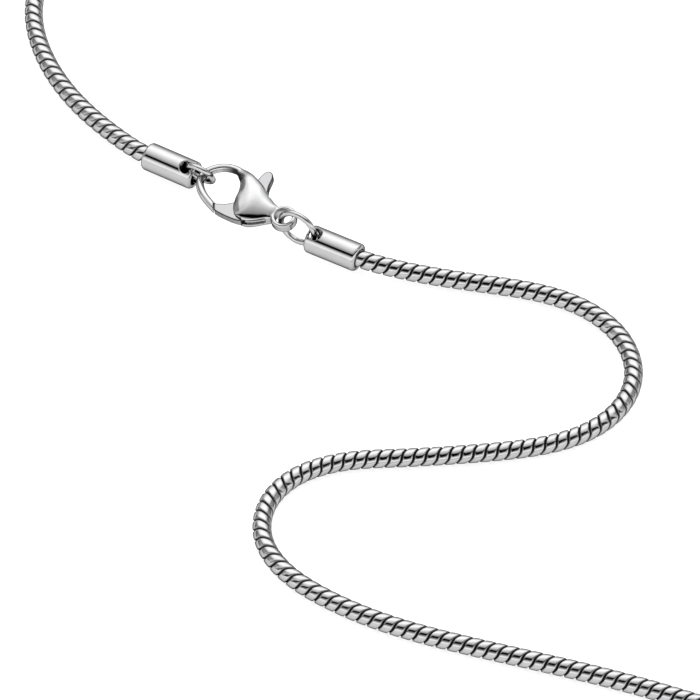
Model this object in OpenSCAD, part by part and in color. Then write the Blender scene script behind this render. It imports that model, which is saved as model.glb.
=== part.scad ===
// Snake chain necklace with a lobster clasp, lying flat in one closed loop.
// Millimetres. The floor is z = 0, the clasp is at the upper left and the
// viewer stands on the -Y side.

/* [Chain] */
// outside diameter of the round snake chain
chain_d = 2.0; // [1.2:0.1:3.2]
// length of chain glued into each end cap
chain_insert = 3.8; // [2:0.1:5]

/* [End caps] */
// wall of the tubular end caps
cap_wall = 0.5; // [0.3:0.05:0.8]
// gap between the chain and the bore of a cap
cap_gap = 0.05; // [0.02:0.01:0.15]
// length of an end cap
cap_length = 6.2; // [5:0.1:8]
// rounding of the outer edges of a cap
cap_round = 0.35; // [0.1:0.05:0.45]
// diameter of the side hole for the jump ring
hole_d = 1.45; // [1:0.05:1.8]
// distance of the side hole from the ring end of the cap
hole_from_end = 0.95; // [0.8:0.05:2]
// width of the chamfer around the side hole
hole_chamfer = 0.15; // [0.05:0.05:0.3]
// lean of the left cap's hole from straight up towards the viewer
hole_lean_left = 19; // [0:1:40]
// lean of the right cap's hole from straight up towards the viewer
hole_lean_right = 13; // [0:1:40]
// ring end of the left cap, across
cap_left_x = -30.55; // [-60:0.05:60]
// ring end of the left cap, away from the viewer
cap_left_y = 12.45; // [-80:0.05:80]
// heading from the left cap's ring end to its chain end
cap_left_yaw = 148.8; // [0:0.1:360]
// ring end of the right cap, across
cap_right_x = -18.35; // [-60:0.05:60]
// ring end of the right cap, away from the viewer
cap_right_y = 3.15; // [-80:0.05:80]
// heading from the right cap's ring end to its chain end
cap_right_yaw = -29.8; // [-180:0.1:180]

/* [Jump rings] */
// wire diameter of both jump rings
ring_wire_d = 0.65; // [0.5:0.05:0.9]
// middle diameter of the small ring at the hook
ring_left_d = 3.0; // [2.5:0.05:4]
// middle diameter of the large ring at the eye
ring_right_d = 4.1; // [3.5:0.05:5]
// centre of the left ring, across
ring_left_x = -30.05; // [-60:0.05:60]
// centre of the left ring, away from the viewer
ring_left_y = 11.72; // [-80:0.01:80]
// centre of the left ring, above the floor
ring_left_z = 2.71; // [1.5:0.01:5]
// heading of the left ring's plane
ring_left_yaw = -30.7; // [-180:0.1:180]
// lean of the left ring from upright towards the viewer
ring_left_lean = 22; // [0:1:45]
// centre of the right ring, across
ring_right_x = -19.6; // [-60:0.05:60]
// centre of the right ring, away from the viewer
ring_right_y = 3.6; // [-80:0.05:80]
// centre of the right ring, above the floor
ring_right_z = 2.61; // [1.5:0.01:5]
// heading of the right ring's plane
ring_right_yaw = -30.8; // [-180:0.1:180]
// lean of the right ring from upright towards the viewer
ring_right_lean = 2.4; // [0:0.1:45]

/* [Clasp] */
// place of the clasp, across
clasp_x = -24.88; // [-60:0.01:60]
// place of the clasp, away from the viewer
clasp_y = 7.56; // [-80:0.01:80]
// height of the clasp's middle plane above the floor
clasp_z = 2.68; // [1.5:0.01:5]
// heading of the clasp from hook to eye
clasp_yaw = -35; // [-180:1:180]
// lean of the clasp's face towards the viewer
clasp_roll = 12; // [0:1:45]
// half height of the body's upright rim
body_rim = 0.75; // [0.6:0.05:1]
// rise of the body's rounded face above the rim
body_bulge = 0.85; // [0.2:0.05:1.2]
// place along the clasp where the body starts to thin towards the eye
fade_start = 1.8; // [1:0.1:2.5]
// share of the rim's height that is left at the eye
tail_share = 0.62; // [0.5:0.02:1]
// width of the hook's wire
hook_w = 0.88; // [0.6:0.02:1.2]
// thickness of the hook's wire
hook_t = 1.04; // [0.8:0.02:1.4]
// outside diameter of the eye at the clasp's tail
eye_d = 2.84; // [2.4:0.02:3.4]
// hole in the eye
eye_hole_d = 1.8; // [1.4:0.05:2.2]
// thickness of the eye
eye_t = 1.2; // [0.8:0.05:1.6]
// place of the eye along the clasp
eye_x = 4.66; // [4:0.02:6]

/* [Clasp lever] */
// thickness of the lever's plate
lever_t = 0.9; // [0.6:0.05:1.2]
// gap between the lever and each wall of its slot
slot_gap = 0.1; // [0.05:0.01:0.2]
// swing of the lever from shut to open
lever_swing = 25; // [15:1:30]
// place of the lever's pivot along the clasp
pivot_x = 1.1; // [0.5:0.05:1.6]
// radius of the lever's hub
hub_r = 1.1; // [0.8:0.05:1.3]
// reach of the gate from the pivot to its tip
gate_reach = 4.59; // [4:0.01:5]
// gap between the gate's tip and the hook's tip
tip_gap = 0.08; // [0.04:0.01:0.2]

/* [Lever pin] */
// diameter of the pin
pin_d = 0.8; // [0.6:0.05:1]
// radial gap of the pin in the body
pin_fit = 0.01; // [0.01:0.005:0.03]
// radial gap of the pin in the lever
pin_play = 0.03; // [0.02:0.005:0.06]
// length of the pin
pin_length = 2.4; // [2:0.05:3]

/* [Part] */
// sub-part to build, or all

/* [Hidden] */

$fn = 64;
eps = 0.01;
steel = [0.86, 0.87, 0.89];
steel_dark = [0.70, 0.71, 0.74];

chain_r = chain_d / 2;
cap_bore_r = chain_r + cap_gap;
cap_r = cap_bore_r + cap_wall;
cap_lift = cap_r - chain_r;
wire_r = ring_wire_d / 2;
slot_t = lever_t + 2 * slot_gap;

// Route of the chain: across, away from the viewer, share of the lift
// from the floor to the caps' axis, and rings up to the next point.
front_route = [
    [-6.8, -1.9, 0.3, 1],
    [0.3, -3.2, 0, 1],
    [5.8, -4.2, 0, 2],
    [10.9, -6.4, 0, 2],
    [14.8, -10.5, 0, 2],
    [16.4, -16, 0, 2],
    [15, -21.1, 0, 2],
    [11.4, -25, 0, 2],
    [6, -27.2, 0, 1],
    [-1.5, -28.1, 0, 1],
    [-8.5, -28.7, 0, 1],
    [-14.3, -28.8, 0, 2],
    [-19.6, -30.7, 0, 2],
    [-22.9, -34.8, 0, 2],
    [-23.5, -40, 0, 2],
    [-21.2, -44.7, 0, 2],
    [-17, -48.4, 0, 1],
    [-10.5, -52.2, 0, 1],
    [-2.5, -55, 0, 1],
    [7, -57.8, 0, 1],
    [16.5, -60.9, 0, 1]
];
join_point = [25.6, -64.9, 0, 2];
back_route = [
    [34.7, -68.5, 0, 2],
    [42.8, -66, 0, 2],
    [47.2, -57.5, 0, 2],
    [48.5, -45, 0, 2],
    [48.6, -28, 0, 1],
    [48.6, -8, 0, 1],
    [48.6, 12, 0, 2],
    [48.4, 30, 0, 2],
    [46.8, 45, 0, 2],
    [41.5, 57.3, 0, 2],
    [31, 64.8, 0, 2],
    [16, 67.4, 0, 2],
    [-1, 67.8, 0, 1],
    [-18, 67.2, 0, 2],
    [-32.5, 62.8, 0, 2],
    [-43, 53.6, 0, 2],
    [-48.3, 44.5, 0, 2],
    [-49, 37, 0, 2],
    [-46.9, 29.8, 0, 1],
    [-43.8, 24.3, 0, 1],
    [-40.2, 19.8, 0.4, 2]
];
// Stations of the straight ends, as shares of the length in a cap.
end_shares = [0, 0.85, 1.3];

chain_sides = 8;

// A cut runs past the wall it cuts by this much.
past = 1;

// Outline of the clasp's body, anticlockwise from the tail.
body_outline = [
    [3.5, 0.8], [3.0, 0.92], [2.4, 1.18], [1.5, 1.65], [0.6, 2.13],
    [-0.1, 2.42], [-0.8, 2.68], [-1.7, 2.9], [-2.5, 3.0], [-3.0, 2.93],
    [-3.2, 2.65], [-3.05, 2.3], [-2.6, 1.95], [-2.1, 1.52], [-1.75, 1.1],
    [-1.5, 0.6], [-1.3, 0.05], [-1.2, -0.5], [-1.0, -1.1], [-0.8, -1.6],
    [-0.5, -2.05], [-0.1, -2.4], [0.4, -2.58], [0.9, -2.6], [1.4, -2.46],
    [1.9, -2.18], [2.4, -1.8], [2.8, -1.46], [3.2, -1.12], [3.5, -0.86],
    [3.65, -0.4], [3.7, 0], [3.65, 0.4]
];
// Spine that the body's rings shrink towards.
spine_front = [-0.2, 0.45];
spine_rear = [3.3, 0];
// Angles of the body's rings from the rim to the crown.
crown_steps = [0, 15, 30, 45, 60, 78];
// Share of the bulge that is gone at the eye.
fade_bulge = 0.78;

// Middle line of the hook's wire, from inside the body to past its tip.
hook_route = [
    [-0.9, 1.95], [-1.7, 2.38], [-2.6, 2.65], [-3.6, 2.68], [-4.6, 2.38],
    [-5.5, 1.7], [-6.1, 0.72], [-6.1, -0.3], [-5.55, -1.1], [-4.7, -1.75],
    [-3.7, -2.22], [-2.7, -2.58], [-1.7, -2.85]
];
hook_steps = 3;
hook_sides = 12;

gate_outline = [
    [-2.9, -2.14], [-2.4, -2.02], [-1.8, -1.74], [-1.3, -1.32],
    [-0.9, -0.95], [0.05, -0.47], [0.5, 0.6], [1.5, 0.6], [1.6, -0.6],
    [0.98, -1.08], [0.86, -2.3], [0.84, -2.76], [0.6, -2.88], [0.1, -2.98],
    [-0.6, -3.04], [-1.5, -3.06], [-2.5, -2.99], [-3.6, -2.7]
];
tab_outline = [
    [0.6, 0.4], [0.48, 0.97], [-0.42, 2.25], [-0.5, 2.9], [-0.47, 3.4],
    [-0.35, 3.8], [-0.12, 4.08], [0.15, 4.16], [0.45, 4.05], [0.72, 3.75],
    [0.88, 3.3], [0.98, 2.8], [1.12, 2.3], [1.35, 1.8], [1.3, 1.13],
    [1.6, 0.4]
];
// Edges of the gate and of the tab, as angles around the pivot.
gate_top = 204;
gate_low = 264;
tab_left = 124;
tab_right = 82;
stop_angle = 2;
slot_margin = 3;

function unit(v) = v / norm(v);
function heading(a) = [cos(a), sin(a)];
function point_at(p, lift) = [p[0], p[1], chain_r + lift * cap_lift];

// Stations from a cap's hidden chain end outwards.
function end_points(x, y, yaw) =
    let (start = cap_length - chain_insert)
    [for (s = end_shares) point_at([x, y] + heading(yaw) * (start + s * chain_insert), 1)];

right_end = end_points(cap_right_x, cap_right_y, cap_right_yaw);
left_end = end_points(cap_left_x, cap_left_y, cap_left_yaw);

chain_points = concat(
    right_end,
    [for (p = front_route) point_at(p, p[2])],
    [point_at(join_point, join_point[2])],
    [for (p = back_route) point_at(p, p[2])],
    [left_end[2], left_end[1], left_end[0]]
);
chain_counts = concat(
    [1, 1, 2],
    [for (p = front_route) p[3]],
    [join_point[3]],
    [for (p = back_route) p[3]],
    [1, 1, 1]
);
join_index = len(right_end) + len(front_route);
last_index = len(chain_points) - 1;

// Cubic curve near a row of points; the ends are met exactly.
function pick(pts, i) =
    i < 0 ? 2 * pts[0] - pts[1]
    : i >= len(pts) ? 2 * pts[len(pts) - 1] - pts[len(pts) - 2]
    : pts[i];
function curve(pts, i, t) =
    (pow(1 - t, 3) * pick(pts, i - 1)
     + (3 * pow(t, 3) - 6 * t * t + 4) * pick(pts, i)
     + (3 * t + 3 * t * t - 3 * pow(t, 3) + 1) * pick(pts, i + 1)
     + pow(t, 3) * pick(pts, i + 2)) / 6;
function slope(pts, i, t) =
    (-pow(1 - t, 2) * pick(pts, i - 1)
     + (3 * t * t - 4 * t) * pick(pts, i)
     + (1 + 2 * t - 3 * t * t) * pick(pts, i + 1)
     + t * t * pick(pts, i + 2)) / 2;

// Places of the rings between two stations of the route.
function stations(first, last) = concat(
    [for (i = [first:last - 1]) for (k = [0:chain_counts[i] - 1]) [i, k / chain_counts[i]]],
    [[last, 0]]
);
// One ring of corners across the chain, one corner straight down.
function chain_ring(s) =
    let (c = curve(chain_points, s[0], s[1]),
         t = unit(slope(chain_points, s[0], s[1])),
         side = unit(cross(t, [0, 0, 1])),
         up = cross(side, t))
    [for (k = [0:chain_sides - 1])
        let (a = 360 * k / chain_sides - 90)
        c + chain_r * (cos(a) * side + sin(a) * up)];

// Closed skin over rows of equal length. Each end is a fan around a tip,
// which is the middle of the end's row unless it is given.
function middle(row) = [for (p = row) 1] * row / len(row);
module skin(rows, first_tip = undef, last_tip = undef) {
    n = len(rows[0]);
    m = len(rows);
    tips = [is_undef(first_tip) ? middle(rows[0]) : first_tip,
            is_undef(last_tip) ? middle(rows[m - 1]) : last_tip];
    points = concat([for (r = rows) for (p = r) p], tips);
    walls = [for (i = [0:m - 2]) for (j = [0:n - 1])
        let (a = i * n + j, b = i * n + (j + 1) % n)
        for (f = [[a, b, a + n], [b, b + n, a + n]]) f];
    start = [for (j = [0:n - 1]) [(j + 1) % n, j, m * n]];
    finish = [for (j = [0:n - 1]) [(m - 1) * n + j, (m - 1) * n + (j + 1) % n, m * n + 1]];
    polyhedron(points, concat(start, walls, finish));
}

module chain_run(first, last) {
    skin([for (s = stations(first, last)) chain_ring(s)]);
}

module chain_front() {
    color(steel)
        chain_run(0, join_index);
}

module chain_back() {
    color(steel)
        chain_run(join_index, last_index);
}

// Half section of a cap: an open tube with rounded outer edges.
module cap_section() {
    difference() {
        translate([cap_bore_r, 0])
            square([cap_wall, cap_length]);
        for (end = [0, 1])
            translate([cap_r, end * cap_length])
                mirror([0, end])
                    difference() {
                        translate([-cap_round, -eps])
                            square([cap_round + eps, cap_round + eps]);
                        translate([-cap_round, cap_round])
                            circle(cap_round);
                    }
    }
}

// A cap along +X from its ring end, with the side hole in the upper wall.
module cap(lean) {
    difference() {
        rotate([0, 90, 0])
            rotate_extrude()
                cap_section();
        translate([hole_from_end, 0, 0])
            rotate([lean, 0, 0]) {
                cylinder(d = hole_d, h = cap_r + past);
                translate([0, 0, cap_r - hole_chamfer])
                    cylinder(r1 = hole_d / 2, r2 = hole_d / 2 + 2 * hole_chamfer, h = 2 * hole_chamfer);
            }
    }
}

module cap_left() {
    color(steel)
        translate([cap_left_x, cap_left_y, cap_r])
            rotate([0, 0, cap_left_yaw])
                cap(-hole_lean_left);
}

module cap_right() {
    color(steel)
        translate([cap_right_x, cap_right_y, cap_r])
            rotate([0, 0, cap_right_yaw])
                cap(hole_lean_right);
}

// A round wire ring standing upright along X, leaning towards the viewer.
module jump_ring(d, lean) {
    rotate([90 + lean, 0, 0])
        rotate_extrude()
            translate([d / 2, 0])
                circle(wire_r);
}

module ring_left() {
    color(steel)
        translate([ring_left_x, ring_left_y, ring_left_z])
            rotate([0, 0, ring_left_yaw])
                jump_ring(ring_left_d, ring_left_lean);
}

module ring_right() {
    color(steel)
        translate([ring_right_x, ring_right_y, ring_right_z])
            rotate([0, 0, ring_right_yaw])
                jump_ring(ring_right_d, ring_right_lean);
}

module clasp_place() {
    translate([clasp_x, clasp_y, clasp_z])
        rotate([0, 0, clasp_yaw])
            rotate([clasp_roll, 0, 0])
                children();
}

// Share of the way from one place to another, kept within 0 to 1.
function share(x, from, to) = max(0, min(1, (x - from) / (to - from)));
function spine_at(p) =
    spine_front + share(p[0], spine_front[0], spine_rear[0]) * (spine_rear - spine_front);
// One row of the body's skin: a is 0 at the rim and 90 at the crown.
// Near the eye the rim keeps its stated share and the bulge nearly goes.
function body_row(a, side) = [for (p = body_outline)
    let (c = spine_at(p),
         q = c + cos(a) * (p - c),
         fade = share(p[0], fade_start, spine_rear[0]),
         rim = body_rim * (1 - (1 - tail_share) * fade),
         bulge = body_bulge * (1 - fade_bulge * fade))
    [q[0], q[1], side * (rim + bulge * sin(a))]];

// Pillow-shaped solid of the clasp's body, both shells in one.
module body_pillow() {
    n = len(crown_steps);
    crown = concat(spine_at([pivot_x, 0]), body_rim + body_bulge);
    skin(concat(
        [for (i = [n - 1:-1:0]) body_row(crown_steps[i], 1)],
        [for (i = [0:n - 1]) body_row(crown_steps[i], -1)]
    ), crown, [crown[0], crown[1], -crown[2]]);
}

// Section of the hook's wire: a rounded oval.
function hook_ring(i, t) =
    let (c = curve(hook_route, i, t),
         d = unit(slope(hook_route, i, t)),
         side = [d[1], -d[0]])
    [for (k = [0:hook_sides - 1])
        let (a = 360 * (k + 0.5) / hook_sides,
             u = sign(cos(a)) * sqrt(abs(cos(a))) * hook_w / 2,
             w = sign(sin(a)) * sqrt(abs(sin(a))) * hook_t / 2)
        [c[0] + u * side[0], c[1] + u * side[1], w]];

module hook_wire() {
    n = len(hook_route);
    difference() {
        skin([for (i = [0:n - 2]) for (k = [0:hook_steps - 1]) hook_ring(i, k / hook_steps)]);
        // the tip ends on a circle around the pivot, clear of the gate
        translate([pivot_x, 0, -hook_t])
            difference() {
                cylinder(r = gate_reach + tip_gap, h = 2 * hook_t);
                translate([-2 * gate_reach, 0, -eps])
                    cube([4 * gate_reach, 2 * gate_reach, 2 * hook_t + 2 * eps]);
            }
    }
}

// Sector around the pivot, cut by the lever as it swings.
module slot_sector(from, to) {
    steps = ceil((to - from) / 20);
    reach = 2 * gate_reach;
    translate([pivot_x, 0, -slot_t / 2])
        linear_extrude(slot_t)
            polygon(concat([[0, 0]],
                [for (i = [0:steps]) reach * heading(from + (to - from) * i / steps)]));
}

module lever_slot() {
    slot_sector(gate_top - lever_swing - slot_margin, gate_low + stop_angle);
    slot_sector(tab_right - lever_swing - slot_margin, tab_left + slot_margin);
    translate([pivot_x, 0, -slot_t / 2])
        cylinder(r = hub_r + slot_gap, h = slot_t);
}

module clasp_body() {
    color(steel)
        clasp_place()
            difference() {
                union() {
                    difference() {
                        body_pillow();
                        lever_slot();
                    }
                    hook_wire();
                    translate([eye_x, 0, -eye_t / 2])
                        cylinder(d = eye_d, h = eye_t);
                }
                translate([eye_x, 0, -eye_t])
                    cylinder(d = eye_hole_d, h = 2 * eye_t);
                // blind bore for the pin, open on the underside
                translate([pivot_x, 0, -2 * eye_t])
                    cylinder(r = pin_d / 2 + pin_fit, h = 2 * eye_t + pin_length / 2 + pin_fit);
            }
}

module clasp_lever() {
    color(steel_dark)
        clasp_place()
            translate([0, 0, -lever_t / 2])
                difference() {
                    union() {
                        intersection() {
                            linear_extrude(lever_t)
                                polygon(gate_outline);
                            translate([pivot_x, 0, 0])
                                cylinder(r = gate_reach, h = lever_t);
                        }
                        linear_extrude(lever_t)
                            polygon(tab_outline);
                        translate([pivot_x, 0, 0])
                            cylinder(r = hub_r, h = lever_t);
                    }
                    translate([pivot_x, 0, -eps])
                        cylinder(r = pin_d / 2 + pin_play, h = lever_t + 2 * eps);
                }
}

module lever_pin() {
    color(steel_dark)
        clasp_place()
            translate([pivot_x, 0, -pin_length / 2])
                cylinder(d = pin_d, h = pin_length);
}

chain_front();
chain_back();
cap_left();
cap_right();
ring_left();
ring_right();
clasp_body();
clasp_lever();
lever_pin();
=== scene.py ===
"""Polished steel snake chain necklace with end caps, jump rings and a lobster clasp.

Shapes are worked out in millimetres in the part's frame and turned into metres
when a mesh is made. Angles among the named values are in degrees.
"""

import math

import bmesh
import bpy
import numpy as np
from mathutils import Matrix, Vector


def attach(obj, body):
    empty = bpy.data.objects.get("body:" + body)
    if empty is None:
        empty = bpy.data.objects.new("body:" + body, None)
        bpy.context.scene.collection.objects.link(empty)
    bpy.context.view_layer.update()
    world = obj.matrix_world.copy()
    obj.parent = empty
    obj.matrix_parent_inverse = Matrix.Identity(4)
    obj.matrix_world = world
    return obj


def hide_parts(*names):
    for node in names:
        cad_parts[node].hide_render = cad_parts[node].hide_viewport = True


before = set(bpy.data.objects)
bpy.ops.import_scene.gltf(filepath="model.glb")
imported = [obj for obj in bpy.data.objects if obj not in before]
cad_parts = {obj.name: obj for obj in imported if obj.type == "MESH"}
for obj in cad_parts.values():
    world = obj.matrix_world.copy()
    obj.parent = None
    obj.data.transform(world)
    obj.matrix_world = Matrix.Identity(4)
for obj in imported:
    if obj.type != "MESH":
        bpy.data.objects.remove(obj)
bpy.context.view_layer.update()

MM = 0.001
Z = np.array([0.0, 0.0, 1.0])

# ---------------------------------------------------------------- sizes of caps and rings
CHAIN_R = 1.0
CHAIN_INSERT = 3.8
CAP_WALL = 0.5
CAP_GAP = 0.05
CAP_LENGTH = 6.2
CAP_BORE_R = CHAIN_R + CAP_GAP
CAP_R = CAP_BORE_R + CAP_WALL
# Roundings of a cap's ends, at the outside and at the bore.
CAP_ROUND = 0.42
BORE_ROUND = 0.06
# Side hole of a cap: radius, place from the ring end and rounding of its rim.
HOLE_R = 0.725
HOLE_X = 0.95
HOLE_RIM = 0.13
# Each cap: x and y of its ring end, way towards the chain, lean of its side hole.
CAP_LEFT = (-30.55, 12.45, 148.8, -19.0)
CAP_RIGHT = (-18.35, 3.15, -29.8, 13.0)

# Grid of a cap's skin: points on each straight stretch and how far that stretch keeps
# from the ends, length of a mesh row, and points on a quarter of a rounding.
CAP_POINTS = 60
OUTSIDE_FROM = 0.46
BORE_FROM = 0.12
CAP_ROW = 0.07
ARC_POINTS = 9
# The patch of skin around the side hole: its end on the outside, its two ends in the
# bore, its half width as an angle, its columns and those of the rest, its layers and
# how they crowd towards the hole.
PATCH_OUTSIDE = 2.1
PATCH_BORE = (2.0, 0.13)
PATCH_HALF = 62.0
PATCH_COLUMNS = 40
REST_COLUMNS = 72
PATCH_LAYERS = 14
PATCH_CROWDING = 1.5
# The hole's wall: points around it, rings on its rim and shares of the way down.
HOLE_SIDES = 120
RIM_RINGS = 7
WALL_SHARES = (0.25, 0.5, 0.75, 1.0)
# Points of a cap that lie closer than this are one, in metres.
CAP_JOINT = 2e-6

WIRE_R = 0.325
# Each jump ring: x, y, z, way, lean and radius of its wire's middle line.
RING_LEFT = (-30.05, 11.72, 2.71, -30.7, 22.0, 1.5)
RING_RIGHT = (-19.6, 3.6, 2.61, -30.8, 2.4, 2.05)
RING_AROUND = 180
RING_ACROSS = 40
# The hairline where the wire's ends meet: place around the ring, depth and half width.
RING_CUT = 205.0
CUT_DEPTH = 0.02
CUT_HALF = 0.035

# ---------------------------------------------------------------- sizes of the chain
# Points that the chain's curve follows, in metres: x, y and share of the lift
# from the floor to the caps' axis.
FRONT_ROUTE = [
    (-0.0068, -0.0019, 0.3), (0.0003, -0.0032, 0), (0.0058, -0.0042, 0),
    (0.0109, -0.0064, 0), (0.0148, -0.0105, 0), (0.0164, -0.016, 0),
    (0.015, -0.0211, 0), (0.0114, -0.025, 0), (0.006, -0.0272, 0),
    (-0.0015, -0.0281, 0), (-0.0085, -0.0287, 0), (-0.0143, -0.0288, 0),
    (-0.0196, -0.0307, 0), (-0.0229, -0.0348, 0), (-0.0235, -0.04, 0),
    (-0.0212, -0.0447, 0), (-0.017, -0.0484, 0), (-0.0105, -0.0522, 0),
    (-0.0025, -0.055, 0), (0.007, -0.0578, 0), (0.0165, -0.0609, 0),
]
BACK_ROUTE = [
    (0.0256, -0.0649, 0), (0.0347, -0.0685, 0), (0.0428, -0.066, 0),
    (0.0472, -0.0575, 0), (0.0485, -0.045, 0), (0.0486, -0.028, 0),
    (0.0486, -0.008, 0), (0.0486, 0.012, 0), (0.0484, 0.03, 0),
    (0.0468, 0.045, 0), (0.0415, 0.0573, 0), (0.031, 0.0648, 0),
    (0.016, 0.0674, 0), (-0.001, 0.0678, 0), (-0.018, 0.0672, 0),
    (-0.0325, 0.0628, 0), (-0.043, 0.0536, 0), (-0.0483, 0.0445, 0),
    (-0.049, 0.037, 0), (-0.0469, 0.0298, 0), (-0.0438, 0.0243, 0),
    (-0.0402, 0.0198, 0.4),
]
# Route points of the straight ends, as shares of the length in a cap.
END_SHARES = (0, 0.85, 1.3)
# Steps between two route points when the curve's length is measured.
CURVE_STEPS = 60

# The chain is two flat wires wound side by side: a groove every PITCH, and one
# wire's turn every LEAD.
PITCH = 1.25
LEAD = 2 * PITCH
# One link's profile from groove to groove, as place along and height over CHAIN_R,
# and how dark each of its points is painted, as painted shade in the grooves.
LINK_PROFILE = [
    (0.0, -0.22), (0.085, -0.20), (0.128, -0.07), (0.185, -0.03), (0.33, -0.007),
    (0.625, 0.0), (0.92, -0.007), (1.065, -0.03), (1.122, -0.07), (1.165, -0.20),
]
GROOVE_SHADE = [1.0, 1.0, 0.7, 0.1, 0.0, 0.0, 0.0, 0.1, 0.7, 1.0]
LINK_ROWS = len(LINK_PROFILE)
TURN_ROWS = 2 * LINK_ROWS
# The winding starts this many links before the chain does, so its first turn is whole.
LINKS_BEFORE = 2
# Places around the chain, from its underside over its right-hand side (0) and its top.
# They lie close together at the two shoulders, where the chain is rolled a little flat.
CHAIN_ANGLES = np.array([
    -90.0, -75.0, -60.0, -45.0, -30.0, -15.0, 0.0, 12.0, 22.0, 29.0, 34.0, 38.0, 42.0, 45.0,
    48.0, 52.0, 56.0, 61.0, 68.0, 79.0, 90.0, 101.0, 112.0, 119.0, 124.0, 128.0, 132.0, 135.0,
    138.0, 142.0, 146.0, 151.0, 158.0, 168.0, 180.0, 195.0, 210.0, 225.0, 240.0, 255.0,
])
SHOULDERS = (45.0, 135.0)
SHOULDER_DIP = 0.018
SHOULDER_WIDTH = 9.0
# The grooves run steeper over the shoulders and flatter between them.
GROOVE_WAVE = 0.06
# Points of the chain that lie closer than this are one, in metres.
CHAIN_JOINT = 1e-7

# ---------------------------------------------------------------- sizes of the clasp
# The clasp's own frame has its pivot on the X axis, its eye at +X and its hook at -X.
CLASP_AT = (-24.88, 7.56, 2.68)
CLASP_YAW = -35.0
CLASP_ROLL = 12.0
PIVOT_X = 1.1
# Places around the pivot where the gate's slot and the tab's slot begin and end.
SLOTS = ((176.0, 266.0), (54.0, 127.0))
SLOT_T = 1.1
SLOT_REACH = 9.0
SLOT_POINTS = 12
LEVER_T = 0.9
HUB_R = 1.1
HUB_ROOM = 0.1
PIN_R = 0.4
PIN_LENGTH = 2.1
PIN_DOME = 0.12
PIN_SIDES = 48
PIN_ARC = 8
# Room around the pin in the body and in the lever, and the low end of its bore.
PIN_FIT = 0.01
PIN_PLAY = 0.03
PIN_BORE_LOW = -2.4
# Cutters reach this far up and down: past the lever's plate, and past the body.
PAST_PLATE = 1.0
PAST_BODY = 2.0

BODY_OUTLINE = [
    (3.5, 0.8), (3.0, 0.92), (2.4, 1.18), (1.5, 1.65), (0.6, 2.13),
    (-0.1, 2.42), (-0.8, 2.68), (-1.7, 2.9), (-2.5, 3.0), (-3.0, 2.93),
    (-3.2, 2.65), (-3.05, 2.3), (-2.6, 1.95), (-2.1, 1.52), (-1.75, 1.1),
    (-1.5, 0.6), (-1.3, 0.05), (-1.2, -0.5), (-1.0, -1.1), (-0.8, -1.6),
    (-0.5, -2.05), (-0.1, -2.4), (0.4, -2.58), (0.9, -2.6), (1.4, -2.46),
    (1.9, -2.18), (2.4, -1.8), (2.8, -1.46), (3.2, -1.12), (3.5, -0.86),
    (3.65, -0.4), (3.7, 0.0), (3.65, 0.4),
]
BODY_STEPS = 6
# Height of the body above its middle plane: at its widest, and at its edge on
# the upper side's gate end and tail end, and on the under side.
BODY_TOP = 1.52
RIM_GATE = 0.64
RIM_TAIL = 0.42
RIM_UNDER = 0.6
# Along the body, the upper edge falls from RIM_GATE to RIM_TAIL over this stretch:
# where it starts and how long it is.
RIM_FALL = (0.4, 1.5)
# The body's rings of points shrink towards this line, by the cosine of these angles.
SPINE_FRONT = np.array([-0.2, 0.45])
SPINE_REAR = np.array([3.3, 0.0])
CROWN_ANGLES = (0, 3, 6, 10, 15, 20, 26, 32, 38, 44, 50, 56, 62, 68, 74, 79, 84, 90)
# Each crown's reach, power and how far its crest leans to the tab's side.
CROWN_UPPER = (2.1, 1.45, 0.3)
CROWN_UNDER = (1.7, 2.2, 0.0)
CROWN_STEPS = 10
# From FADE_START to the tail, the bulge loses FADE_BULGE and the edge keeps TAIL_SHARE.
FADE_START = 0.8
FADE_BULGE = 0.2
TAIL_SHARE = 0.9
# The shoulder of the hook, beyond HORN_X and over HORN_Y, is as thin as the hook's
# wire: it loses these shares of its edge's height and of its bulge.
HORN_X = -1.0
HORN_LENGTH = 2.0
HORN_Y = 1.0
HORN_RIM = 0.45
HORN_BULGE = 0.5
# The seam between the two shells on the gate's side: depth, half height and stretch.
SEAM_INSET = 0.42
SEAM_HALF = 0.42
SEAM_FROM = 0.7
SEAM_TO = 3.1

HOOK_ROUTE = [
    (-0.9, 1.95), (-1.7, 2.38), (-2.6, 2.65), (-3.6, 2.68), (-4.6, 2.38),
    (-5.5, 1.7), (-6.1, 0.72), (-6.1, -0.3), (-5.55, -1.1), (-4.7, -1.75),
    (-3.7, -2.22), (-2.7, -2.58), (-1.7, -2.85),
]
HOOK_W = 0.88
HOOK_T = 1.04
HOOK_STEPS = 10
HOOK_SIDES = 40
# The hook ends where the gate's tip passes: places around the pivot of that cut.
HOOK_CUT = (181, 300)
HOOK_CUT_POINTS = 48

EYE_X = 4.66
EYE_R = 1.42
EYE_HOLE_R = 0.9
EYE_T = 1.2
EYE_SIDES = 120
EYE_SECTION = 32

GATE_OUTLINE = [
    (-2.9, -2.14), (-2.4, -2.02), (-1.8, -1.74), (-1.3, -1.32),
    (-0.9, -0.95), (0.05, -0.47), (0.5, 0.6), (1.5, 0.6), (1.6, -0.6),
    (0.98, -1.08), (0.86, -2.3), (0.84, -2.76), (0.6, -2.88), (0.1, -2.98),
    (-0.6, -3.04), (-1.5, -3.06), (-2.5, -2.99), (-3.6, -2.7), (-5.4, -2.2),
    (-5.2, -1.2),
]
TAB_OUTLINE = [
    (0.6, 0.4), (0.48, 0.97), (-0.42, 2.25), (-0.5, 2.9), (-0.47, 3.4),
    (-0.35, 3.8), (-0.12, 4.08), (0.15, 4.16), (0.45, 4.05), (0.72, 3.75),
    (0.88, 3.3), (0.98, 2.8), (1.12, 2.3), (1.35, 1.8), (1.3, 1.13),
    (1.6, 0.4),
]
LEVER_STEPS = 4
GATE_REACH = 4.59
GATE_SIDES = 240
TIP_GAP = 0.08

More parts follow.
